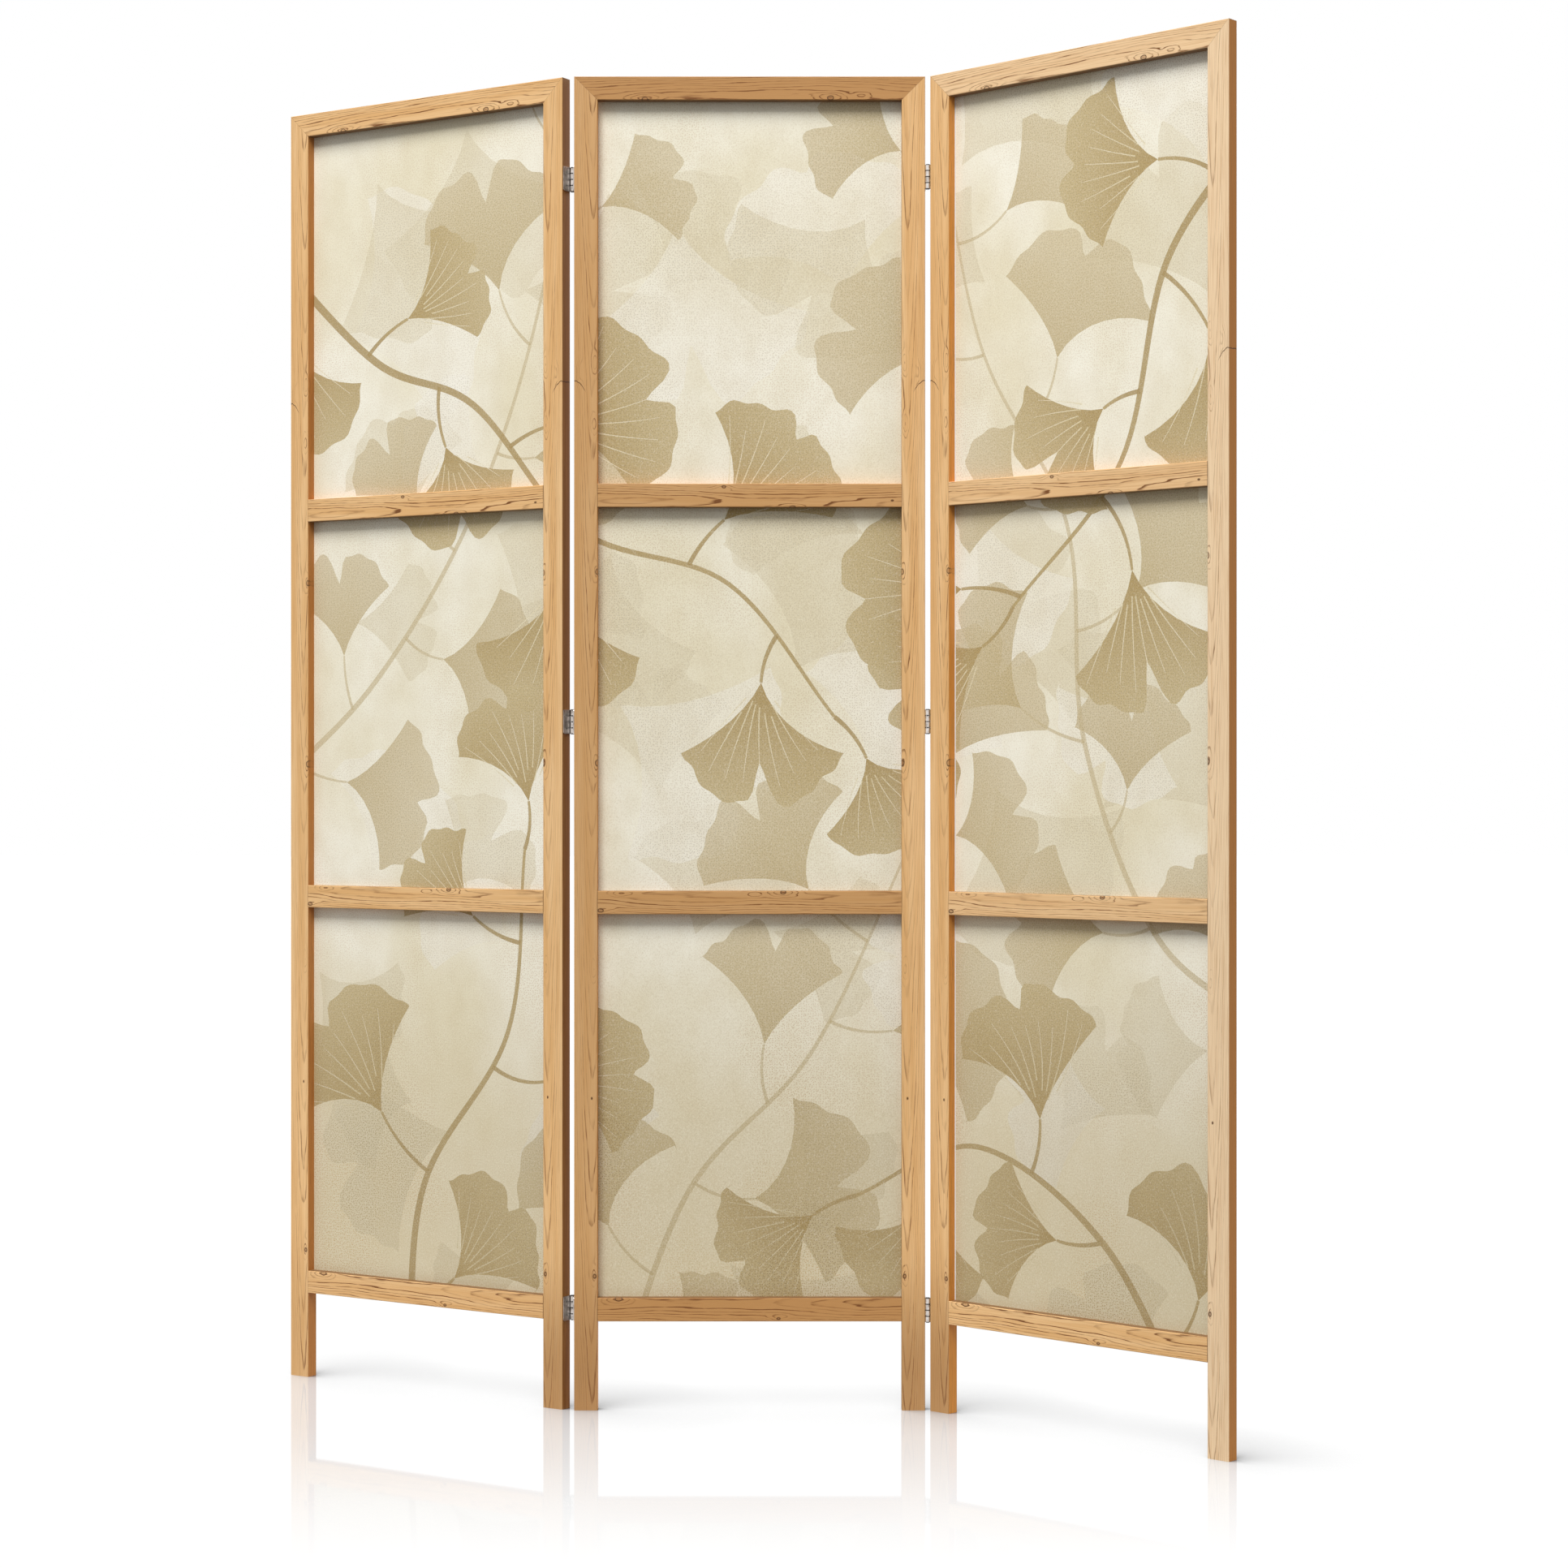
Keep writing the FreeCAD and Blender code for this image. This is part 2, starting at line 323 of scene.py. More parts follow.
def ring_lines(shader, place, board, radius, steepness, nears):
    """Share of the dark line that ends each ring, liveliest near one edge of the board and round knots."""
    v = shader.split(place)[1]
    turns = shader.math("DIVIDE", radius, ring_spacing)
    phase = shader.math("FRACT", turns)
    ring = {"W": shader.math("FLOOR", turns)}
    chance = shader.node("ShaderNodeTexWhiteNoise", ring, noise_dimensions="1D").outputs["Value"]
    strength = shader.math("POWER", chance, ring_unevenness)
    strength = shader.math("MULTIPLY_ADD", strength, 1 - faintest_ring, faintest_ring)
    line = shader.math("MULTIPLY", shader.ease(phase, *late_wood_rise), shader.ease(phase, *late_wood_fall))
    line = shader.math("MULTIPLY", line, strength)
    breaks = shader.noise(stretched(shader, place, break_lengths, board["seed"] + break_seed), detail=3.0)
    line = shader.math("MULTIPLY", line, shader.ease(breaks, *break_ramp))
    line = shader.math("MULTIPLY", line, shader.ease(steepness, 0.0, steep_enough, board["flat_figure"], 1.0))
    # Painted light: fainter lines on the pale boards
    line = shader.math("MULTIPLY", line, painted_light_line_share if board["tone"] < 0 else 1.0)
    figure = shader.ease(v, *lively_ramp, board["figure"], board["plain_edge"])
    line = shader.math("MULTIPLY", line, shader.math("MULTIPLY_ADD", nears, knot_figure, figure))
    return shader.math("MINIMUM", line, 1.0)


def board_base(shader, place, board):
    """Colour of the wood between its lines: patches of tone, each board's tone with its painted light and shade,
    and painted shade on the foot and on the sides.
    """
    u, v, w = shader.split(place)
    tone = shader.noise(stretched(shader, place, tone_lengths, board["seed"]), detail=2.0)
    base = shader.mix(shader.ease(tone, *tone_ramp), honey_pale, honey_deep)
    # Painted light pales the boards whose tone is below 0; the brown of the others is partly their own tone and
    # partly painted shade
    shade = painted_light_bleached if board["tone"] < 0 else honey_brown
    base = shader.mix(abs(board["tone"]), base, shade)
    # Painted shade: the leg darkens towards the floor
    base = shader.mix(shader.ease(u, *foot_wear_heights, board["foot_wear"], 0.0), base, foot_shade_brown)
    # Painted shade on the sides of the board
    side_shade_colour = shader.mix(shader.ease(v, *inner_to_outer), board["shaded_inner_side"], board["outer_side"])
    return shader.mix(painted_side_shade(shader, w, board), base, side_shade_colour)


def pine(name, panel, board):
    shader = Shader(name)
    place = board_place(shader, panel, board)
    radius, steepness = growth_rings(shader, place, board)
    nears, cores, rims = 0.0, 0.0, 0.0
    for mark in board["knots"]:
        near, pull, core, rim = knot(shader, place, *mark)
        radius = shader.math("SUBTRACT", radius, pull)
        nears = shader.math("MAXIMUM", near, nears)
        cores = shader.math("MAXIMUM", core, cores)
        rims = shader.math("MAXIMUM", rim, rims)
    line = ring_lines(shader, place, board, radius, steepness, nears)
    fibre = shader.noise(stretched(shader, place, fibre_lengths, board["seed"]), detail=3.0)
    fibre = shader.ease(fibre, *fibre_ramp)
    base = board_base(shader, place, board)
    base = shader.mix(shader.math("MULTIPLY", fibre, fibre_share), base, fibre_colour)
    base = shader.mix(line, base, line_colour)
    near_front = shader.ease(shader.split(place)[2], *knot_depth_ramp)
    base = shader.mix(shader.math("MULTIPLY", cores, near_front), base, knot_colour)
    base = shader.mix(shader.math("MULTIPLY", rims, near_front), base, knot_rim_colour)
    if board["upright"]:
        base = shader.mix(board_check(shader, place, board), base, knot_rim_colour)
    base = shader.mix(board_seams(shader, place, board), base, knot_rim_colour)
    height = shader.math("MULTIPLY_ADD", fibre, fibre_relief, shader.math("MULTIPLY", line, line_relief))
    roughness = shader.math("MULTIPLY_ADD", fibre, fibre_roughness, pine_roughness)
    roughness = shader.math("MULTIPLY_ADD", line, line_roughness, roughness)
    normal = shader.bump(height, pine_bump, pine_bump_depth)
    gloss = {"Roughness": roughness, "Specular_IOR_Level": pine_specular}
    return shader.finish(Base_Color=base, Normal=normal, **gloss)


def painted_side_shade(shader, w, board):
    """Share of the painted shade, a deeper and darker colour, on the sides of a board, between its front and its
    back.
    """
    behind_front = shader.ease(w, arris_start, arris_end, 0.0, side_shade_share)
    before_back = shader.ease(w, board["thickness"] - arris_end, board["thickness"] - arris_start, 1.0, 0.0)
    return shader.math("MULTIPLY", behind_front, before_back)


def board_check(shader, place, board):
    """Short dark crack in a stile that starts at its outer edge and bends down the grain."""
    u, v, _ = shader.split(place)
    inwards = shader.math("ABSOLUTE", shader.math("SUBTRACT", stile_width / mm, v))
    bend = shader.math("MULTIPLY", shader.math("POWER", inwards, 2.0), check_bend)
    off = shader.math("ADD", shader.math("SUBTRACT", u, check_along), bend)
    wave = swing(shader, place, check_wave_lengths, board["seed"] + check_seed, check_wave)
    off = shader.math("ABSOLUTE", shader.math("ADD", off, wave))
    return shader.math("MULTIPLY", shader.ease(off, *check_ramp), shader.ease(v, *check_start))


def board_seams(shader, place, board):
    """Hairline of shadow where the board meets its neighbours."""
    u, v, _ = shader.split(place)
    before_start = shader.math("SUBTRACT", board["start"], u)
    past_end = shader.math("SUBTRACT", u, board["end"])
    if not board["mitred"]:
        from_start = shader.math("ABSOLUTE", before_start)
        from_end = shader.math("ABSOLUTE", past_end)
        return shader.ease(shader.math("MINIMUM", from_start, from_end), *butt_ramp)
    gap = shader.math("ABSOLUTE", shader.math("SUBTRACT", past_end, v))
    if not board["upright"]:
        first_gap = shader.math("ABSOLUTE", shader.math("SUBTRACT", before_start, v))
        gap = shader.math("MINIMUM", first_gap, gap)
    return shader.ease(gap, *mitre_ramp)


# Marks of the boards: place along the grain, place across from the lively edge, radius, reach of the pull
# on the rings and how full the core is. A radius of 0 is a swirl without a knot.
stile_knots = [
    (1342, 3, 0, 8, 0),
    (1330, 24, 0, 9, 0),
    (1264, 4, 0, 8, 0),
    (1075, 0.5, 2.0, 8, 0.5),
    (830, 0, 2.6, 10, 0.5),
    (565, 4, 0, 8, 0),
    (400, 7.5, 0.8, 1, 1),
    (172, 3.5, 1.8, 7, 0.6),
]
rail_knots = {
    "top_rail": [(91, 0.5, 2.6, 11, 0.4), (329, 2.5, 2.6, 11, 0.4), (369, 6, 0, 6, 0)],
    "upper_rail": [(192, 26, 1.4, 7, 0.5), (408, 8.5, 0.9, 1, 1), (280, -1, 2.4, 8, 0.4)],
    "lower_rail": [(34, 25, 2.2, 9, 0.5), (60, 3, 0, 7, 0), (268, 2.0, 2.4, 11, 0.4), (232, 4, 0, 6, 0)],
    "bottom_rail": [(57, 1.0, 2.6, 10, 0.4), (262, 26, 1.4, 7, 0.5)],
}

# Cut of the boards: where the heart lies across the face and behind it, how far the rings drift for each
# millimetre along the board, how much they wander, and the strength of their lines at the lively edge, at the
# plain edge and where the rings lie flat in the face
stile_cut = {
    "heart": 7.0,
    "heart_depth": 13.0,
    "drift": 0.027,
    "wobble": 0.45,
    "figure": 1.2,
    "plain_edge": 0.55,
    "flat_figure": 0.5,
}
rail_cut = {
    "heart": 4.0,
    "heart_depth": 24.0,
    "drift": 0.0,
    "wobble": 1.0,
    "figure": 2.4,
    "plain_edge": 1.4,
    "flat_figure": 0.6,
}
first_seed = 3.1
seed_step = 17.3

# Rails whose lively edge is the lower one, and rails as thick as the frame
under_rails = ("top_rail", "upper_rail")
full_rails = ("top_rail", "bottom_rail")

# How far a board's colour goes towards brown, or below 0 towards bleached: each board's own tone, with painted
# light paling the right panel and painted shade darkening the middle panel's bottom rail
board_tones_and_painted_light = {
    "middle_panel_left_stile": 0.55,
    "middle_panel_top_rail": 0.95,
    "middle_panel_upper_rail": 0.65,
    "middle_panel_lower_rail": 0.7,
    "middle_panel_bottom_rail": 1.0,
    "left_panel_bottom_rail": 0.2,
    "right_panel_top_rail": -0.45,
    "right_panel_upper_rail": -0.2,
    "right_panel_lower_rail": -0.2,
    "right_panel_right_stile": -0.8,
}

# Share of the painted shade, a darker brown, that a leg takes towards the floor
usual_foot_wear = 0.75
foot_wears = {"left_panel_left_stile": 0.3, "right_panel_right_stile": 0.1}

# Painted shade: colour of the sides that are painted darker than the rest
shaded_inner_sides = {"left_panel_left_stile": colour(186, 116, 46)}
outer_sides = {"left_panel_right_stile": colour(126, 77, 8)}


def stile_board(at_right):
    width = panel_width / mm
    wide = stile_width / mm
    place = {
        "upright": True,
        "mitred": True,
        "edge": width - wide if at_right else wide,
        "outwards": 1 if at_right else -1,
        "start": 0,
        "end": (panel_height - rail_width) / mm,
        "thickness": panel_thickness / mm,
        "shaded_inner_side": shaded_far_side_honey if at_right else shaded_side_honey,
        "knots": stile_knots,
    }
    return place | stile_cut


def rail_board(name):
    low, high = [corner.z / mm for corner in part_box(f"middle_panel_{name}")]
    under = name in under_rails
    place = {
        "upright": False,
        "mitred": name == "top_rail",
        "edge": low if under else high,
        "outwards": 1 if under else -1,
        "start": stile_width / mm,
        "end": (panel_width - stile_width) / mm,
        "thickness": (panel_thickness if name in full_rails else cloth_front) / mm,
        "shaded_inner_side": shaded_shelf_honey,
        "knots": rail_knots[name],
    }
    return place | rail_cut


def boards():
    """Board frame and cut of each kind of member."""
    stiles = {"left_stile": stile_board(False), "right_stile": stile_board(True)}
    return stiles | {name: rail_board(name) for name in rail_knots}


def finish_frames():
    for panel in panels.values():
        for index, (member, board) in enumerate(boards().items()):
            node = f"{panel.name}_{member}"
            board["seed"] = first_seed + seed_step * index
            board["tone"] = board_tones_and_painted_light.get(node, 0.0)
            board["foot_wear"] = foot_wears.get(node, usual_foot_wear) if board["upright"] else 0.0
            board["shaded_inner_side"] = shaded_inner_sides.get(node, board["shaded_inner_side"])
            board["outer_side"] = outer_sides.get(node, shaded_edge_honey)
            nodes[node].data.materials.clear()
            nodes[node].data.materials.append(pine(node + "_pine", panel, board))


finish_frames()


# Printed cloth. The design is drawn flat across the three panels as if they stood in line, X from the
# left edge of the left panel and Z from the floor, and each sheet holds its own stretch of it.

panel_pitch = panel_width + panel_gap
print_width = panel_width * len(panel_names) + panel_gap * (len(panel_names) - 1)
print_seed = 11
random.seed(print_seed)


def ink(base, rim, cover):
    """Ink of a printed shape: its colour at the base, its colour at the rim and how much it covers."""
    return {"base": colour(*base), "rim": colour(*rim), "cover": cover}


far_ink = ink((214, 202, 170), (222, 212, 184), 0.55)
pale_ink = ink((238, 232, 214), (246, 242, 230), 0.6)
near_ink = ink((186, 165, 116), (208, 193, 158), 0.8)
front_ink = ink((168, 141, 82), (198, 180, 137), 0.95)
twig_ink = ink((164, 138, 84), (176, 152, 98), 0.9)
far_twig_ink = ink((196, 178, 136), (204, 188, 150), 0.7)
vein_ink = ink((226, 214, 178), (240, 233, 210), 0.75)

# Fan leaves: the outline as shares of the leaf's size and spread, and the ranges that a leaf is drawn from
side_steps = 8
rim_steps = 44
neck_share = 0.35
side_power = 0.7
rim_drop_share = 0.16
rim_ripples = [(9, 0.022), (23, 0.014)]
notch_width_share = 0.085
leaf_spreads = (44, 66)
notch_shares = (0.12, 0.4)
leaf_bends = (-0.25, 0.25)

# Veins, as shares of the leaf's spread and size
vein_steps = 5
vein_spread_share = 0.88
vein_start_shares = (0.16, 0.3)
vein_end_shares = (0.68, 0.86)
vein_width_shares = (0.012, 0.003)

# Leaves printed first, scattered over the whole print
far_rows = 8
far_columns = 6
far_place_shares = (0.1, 0.9)
far_leaf_sizes = (0.13, 0.24)
pale_every = 3

# Twigs: corners as shares of the print's width and of the panel's height, then the make of each kind
far_branches = [
    [(-0.04, 0.46), (0.10, 0.55), (0.22, 0.68), (0.30, 0.84), (0.34, 1.04)],
    [(0.36, -0.02), (0.44, 0.16), (0.56, 0.27), (0.66, 0.44)],
    [(1.04, 0.30), (0.92, 0.36), (0.84, 0.50), (0.82, 0.66), (0.72, 0.80), (0.66, 1.02)],
]
front_branches = [
    [(-0.04, 0.90), (0.10, 0.80), (0.22, 0.76), (0.34, 0.66), (0.48, 0.62), (0.58, 0.52)],
    [(1.03, 0.93), (0.93, 0.84), (0.88, 0.70), (0.76, 0.60)],
    [(0.14, 0.02), (0.16, 0.16), (0.26, 0.28), (0.28, 0.42)],
    [(0.96, 0.02), (0.86, 0.14), (0.72, 0.20), (0.60, 0.16)],
]
far_make = {
    "twig_width": 0.009,
    "leaf_size": 0.15,
    "leaf_gap": 0.125,
    "kind": near_ink,
    "twig_kind": far_twig_ink,
    "veins": 0,
}
front_make = {
    "twig_width": 0.012,
    "leaf_size": 0.155,
    "leaf_gap": 0.15,
    "kind": front_ink,
    "twig_kind": twig_ink,
    "veins": 9,
}
twig_steps = 14
twig_taper_share = 0.35
first_leaf_share = 0.5
leaf_gap_shares = (0.85, 1.2)
leaf_size_shares = (0.8, 1.15)
leaf_leans = (48, 80)
stalk_steps = 8
stalk_length_shares = (0.4, 0.65)
stalk_bow_shares = (0.08, 0.2)
stalk_width_shares = (0.5, 0.32)


def printed_shape(outline, base, rim, kind):
    """Shape of the print, with its outline turned to run anticlockwise."""
    area = sum(a.x * b.y - b.x * a.y for a, b in zip(outline, outline[1:] + outline[:1]))
    return {"outline": outline if area > 0 else outline[::-1], "base": base, "rim": rim, "ink": kind}


def turned(point, angle):
    x, y = point
    return Vector((x * math.cos(angle) - y * math.sin(angle), x * math.sin(angle) + y * math.cos(angle)))


def fan_outline(size, spread, notch):
    """Fan-shaped leaf with a notch and a rippled rim, its stalk at the origin, pointing along +Y."""
    ripple_start = random.uniform(0, math.tau)
    side_shares = [step / side_steps for step in range(side_steps)]
    sides = [(share, spread * (neck_share + (1 - neck_share) * share ** side_power)) for share in side_shares]
    points = [(reach, -angle) for reach, angle in sides]
    for step in range(rim_steps + 1):
        across = 2 * step / rim_steps - 1
        reach = 1 - rim_drop_share * across ** 2
        for start, (count, height) in zip((ripple_start, 0), rim_ripples):
            reach += height * math.sin(count * across + start)
        reach -= notch * math.exp(-(across / notch_width_share) ** 2)
        points.append((reach, spread * across))
    points += sides[:0:-1]
    return [(size * reach * math.sin(angle), size * reach * math.cos(angle)) for reach, angle in points]


def stroke_outline(path, start_width, end_width):
    """Band along a path, tapering from one width to the other."""
    left, right = [], []
    for index, point in enumerate(path):
        ahead = path[min(index + 1, len(path) - 1)] - path[max(index - 1, 0)]
        square = Vector((-ahead.y, ahead.x)).normalized()
        share = index / (len(path) - 1)
        half = (start_width + (end_width - start_width) * share) / 2
        left.append(point + square * half)
        right.append(point - square * half)
    return left + right[::-1]


def bow(start, end, sag, steps):
    """Points on a curve from start to end that bows to one side."""
    run = end - start
    middle = (start + end) / 2 + Vector((-run.y, run.x)) * sag
    points = []
    for step in range(steps + 1):
        share = step / steps
        first = start.lerp(middle, share)
        points.append(first.lerp(middle.lerp(end, share), share))
    return points


def smooth_path(corners, steps):
    """Smooth line through the corners given."""
    ends = [2 * corners[0] - corners[1]] + corners + [2 * corners[-1] - corners[-2]]
    points = []
    for before, start, end, after in zip(ends, ends[1:], ends[2:], ends[3:]):
        for step in range(steps):
            t = step / steps
            bend = (2 * before - 5 * start + 4 * end - after) * t ** 2
            twist = (3 * start - 3 * end + after - before) * t ** 3
            points.append((2 * start + (end - before) * t + bend + twist) / 2)
    return points + [corners[-1]]


def leaf_shapes(base, heading, size, kind, veins):
    """A fan leaf and the pale veins that spread in it."""
    spread = math.radians(random.uniform(*leaf_spreads))
    notch = random.uniform(*notch_shares)
    bend = random.uniform(*leaf_bends)

    def place(point):
        reach = math.hypot(*point) / size
        return base + turned(point, heading + bend * reach)

    rim = base + turned((0, size), heading)
    outline = [place(point) for point in fan_outline(size, spread, notch)]
    shapes = [printed_shape(outline, base, rim, kind)]
    for count in range(veins):
        angle = spread * vein_spread_share * ((count + 0.5) / veins * 2 - 1)
        near = size * random.uniform(*vein_start_shares)
        far = size * random.uniform(*vein_end_shares)
        reaches = [near + (far - near) * step / vein_steps for step in range(vein_steps + 1)]
        run = [place((reach * math.sin(angle), reach * math.cos(angle))) for reach in reaches]
        band = stroke_outline(run, *[size * share for share in vein_width_shares])
        shapes.append(printed_shape(band, run[0], run[-1], vein_ink))
    return shapes


def branch_shapes(corners, twig_width, leaf_size, leaf_gap, kind, twig_kind, veins):
    """A twig with stalked fan leaves on alternate sides of it."""
    path = smooth_path([Vector((x * print_width, z * panel_height)) for x, z in corners], twig_steps)
    twig = stroke_outline(path, twig_width, twig_width * twig_taper_share)
    shapes = [printed_shape(twig, path[0], path[-1], twig_kind)]
    travelled = 0.0
    due = leaf_gap * first_leaf_share
    side = 1
    for start, end in zip(path, path[1:]):
        travelled += (end - start).length
        if travelled < due and end is not path[-1]:
            continue
        due += leaf_gap * random.uniform(*leaf_gap_shares)
        side = -side
        size = leaf_size * random.uniform(*leaf_size_shares)
        along = math.atan2(end.y - start.y, end.x - start.x)
        lean = 0.0 if end is path[-1] else side * math.radians(random.uniform(*leaf_leans))
        ahead = Vector((math.cos(along + lean), math.sin(along + lean)))
        stalk_end = end + ahead * size * random.uniform(*stalk_length_shares)
        stalk = bow(end, stalk_end, side * random.uniform(*stalk_bow_shares), stalk_steps)
        band = stroke_outline(stalk, *[twig_width * share for share in stalk_width_shares])
        shapes.append(printed_shape(band, end, stalk_end, twig_kind))
        last = stalk[-1] - stalk[-2]
        shapes += leaf_shapes(stalk_end, math.atan2(last.y, last.x) - math.pi / 2, size, kind, veins)
    return shapes


def print_design():
    """All printed shapes, the ones printed first behind."""
    shapes = []
    for row in range(far_rows):
        for column in range(far_columns):
            x = (column + random.uniform(*far_place_shares)) / far_columns * print_width
            z = (row + random.uniform(*far_place_shares)) / far_rows * panel_height
            kind = far_ink if (row + column) % pale_every else pale_ink
            size = random.uniform(*far_leaf_sizes)
            shapes += leaf_shapes(Vector((x, z)), random.uniform(0, math.tau), size, kind, 0)
    for corners in far_branches:
        shapes += branch_shapes(corners, **far_make)
    for corners in front_branches:
        shapes += branch_shapes(corners, **front_make)
    return shapes


def mixed_ink(covering, point):
    """Ink of the shapes that cover a point, the last printed on top: its colour, then its cover."""
    red = green = blue = cover = 0.0
    for shape in covering:
        run = shape["rim"] - shape["base"]
        share = min(max((point - shape["base"]).dot(run) / run.length_squared, 0.0), 1.0)
        top = [a + (b - a) * share for a, b in zip(shape["ink"]["base"], shape["ink"]["rim"])]
        part = shape["ink"]["cover"]
        rest = cover * (1 - part)
        cover = part + rest
        red = (top[0] * part + red * rest) / cover
        green = (top[1] * part + green * rest) / cover
        blue = (top[2] * part + blue * rest) / cover
    return (red, green, blue, cover)


# The cut gives back the triangles inside the outlines, and joins corners that are closer than this
inside_faces = 1
merge_distance = 1e-6


def cut_print(shapes, low, high):
    """Triangles of the sheet between two corners, cut along the outlines, and the ink at their corners."""
    frame_corners = [low, Vector((high.x, low.y)), high, Vector((low.x, high.y))]
    points, faces, used = list(frame_corners), [list(range(4))], []
    for shape in shapes:
        xs = [point.x for point in shape["outline"]]
        zs = [point.y for point in shape["outline"]]
        if max(xs) > low.x and min(xs) < high.x and max(zs) > low.y and min(zs) < high.y:
            faces.append(list(range(len(points), len(points) + len(xs))))
            points += shape["outline"]
            used.append(shape)
    made = delaunay_2d_cdt(points, [], faces, inside_faces, merge_distance, True)
    corners, triangles, inks = made[0], [], []
    for triangle, sources in zip(made[2], made[5]):
        if 0 in sources:
            covering = [used[index - 1] for index in sorted(sources) if index]
            triangles.append(triangle)
            inks += [mixed_ink(covering, corners[index]) for index in triangle]
    return corners, triangles, inks


# Cloth sheets. In a sheet's flat map the front, the back and the rim lie side by side.

front_bake_share = 0.62
back_bake_start_share = 0.64
back_bake_share = 0.33
rim_bake_start_share = 0.98


def sheet_faces(triangles, count):
    """Front, back and rim faces of a sheet whose back corners are numbered on from its front ones."""
    edges = {(a, b) for tri in triangles for a, b in zip(tri, tri[1:] + tri[:1])}
    front = [tuple(tri) for tri in triangles]
    back = [tuple(index + count for index in reversed(tri)) for tri in triangles]
    rim = [(b, a, a + count, b + count) for a, b in sorted(edges) if (b, a) not in edges]
    return front, back, rim


def bake_place(kind, across, up):
    """Where a corner of the sheet lies in its flat map."""
    if kind == "front":
        return (across * front_bake_share, up)
    if kind == "back":
        return (back_bake_start_share + across * back_bake_share, up)
    return (rim_bake_start_share + (across + up) / 2 * (1 - rim_bake_start_share), up)


def sheet_mesh(name, corners, triangles, inks, low):
    """Thin closed sheet in the panel's frame, with its print kept on its corners."""
    kept = sorted({index for tri in triangles for index in tri})
    order = {index: place for place, index in enumerate(kept)}
    triangles = [[order[index] for index in tri] for tri in triangles]
    flat = [corners[index] - low for index in kept] * 2
    count = len(kept)
    depths = [cloth_front] * count + [cloth_front + cloth_thickness] * count
    points = [(cloth_left + spot.x, y, cloth_low.z + spot.y) for spot, y in zip(flat, depths)]
    front, back, rim = sheet_faces(triangles, count)
    faces = front + back + rim
    kinds = ["front"] * len(front) + ["back"] * len(back) + ["rim"] * len(rim)
    mesh = bpy.data.meshes.new(name)
    mesh.from_pydata(points, [], faces)
    mesh.attributes.new("print_ink", "FLOAT_COLOR", "CORNER")
    mesh.attributes.new("print_place", "FLOAT_VECTOR", "POINT")
    mesh.uv_layers.new(name="OFBake")
    places = [(low.x + spot.x, low.y + spot.y, point[0]) for spot, point in zip(flat, points)]
    bake_places = []
    for kind, face in zip(kinds, faces):
        bake_places += [bake_place(kind, flat[i].x / cloth_width, flat[i].y / cloth_height) for i in face]
    bare = [(0.0, 0.0, 0.0, 0.0)] * (len(mesh.loops) - len(inks))
    mesh.attributes["print_ink"].data.foreach_set("color", listed(inks + bare))
    mesh.attributes["print_place"].data.foreach_set("vector", listed(places))
    mesh.uv_layers["OFBake"].data.foreach_set("uv", listed(bake_places))
    mesh.polygons.foreach_set("material_index", [0 if kind == "front" else 1 for kind in kinds])
    return mesh


def listed(rows):
    """The values of all rows in one list."""
    return [value for row in rows for value in row]


# Ground of the print: cream with clouds and mottled; painted shade makes the ground and the ink greyer low down
ground_pale = colour(245, 241, 225)
ground_deep = colour(230, 221, 192)
shaded_ground_low = colour(203, 190, 158)
shaded_ink_low = colour(146, 126, 86)
mottle_colour = colour(196, 176, 132)
cloud_scale = 3.2
cloud_ramp = (0.35, 0.68)
mottle_scale = 23.0
mottle_ramp = (0.3, 0.75, 0.0, 0.16)
low_heights = (0.72, 0.2)
low_ground_share = 0.9
low_ink_share = 0.45

# Dots that the print is built up with, denser in patches, low down and under the ink
dot_on_ground = colour(178, 134, 78)
dot_on_ink = colour(112, 92, 50)
dots_per_metre = 320.0
dot_scatter = 0.7
dot_ramp = (0.08, 0.29, 1.0, 0.0)
patch_scale = 4.5
patch_ramp = (0.4, 0.64, 0.18, 0.8)
high_dot_share = 0.5
ink_dot_share = 0.42

# Grain of the cloth, and a painted line of light, pale blue, at the left edge of the right panel, standing for
# light seen past the stile
fleck_dark = colour(168, 148, 104)
fleck_pale = colour(252, 250, 240)
gap_light_colour = colour(226, 236, 242)
grain_scale = 520.0
dark_fleck_ramp = (0.5, 0.72, 0.0, 0.22)
pale_fleck_ramp = (0.28, 0.5, 0.2, 0.0)
gap_light_ramp = (1.3 * mm, 1.7 * mm, 1.0, 0.0)
gap_light_place = 2 * panel_pitch + stile_width
grain_relief = 0.7
grain_roughness = 0.15
cloth_roughness = 0.72
cloth_bump = 0.2
cloth_bump_depth = 0.15 * mm

# Back of the cloth
felt_pale = colour(238, 236, 230)
felt_deep = colour(226, 223, 214)
felt_cloud = colour(224, 218, 202)
felt_scale = 420.0
felt_ramp = (0.35, 0.7)
felt_cloud_scale = 9.0
felt_cloud_ramp = (0.4, 0.7, 0.0, 0.35)
felt_roughness = 0.7
fibre_felt_roughness = 0.2
felt_bump = 0.25
felt_bump_depth = 0.2 * mm


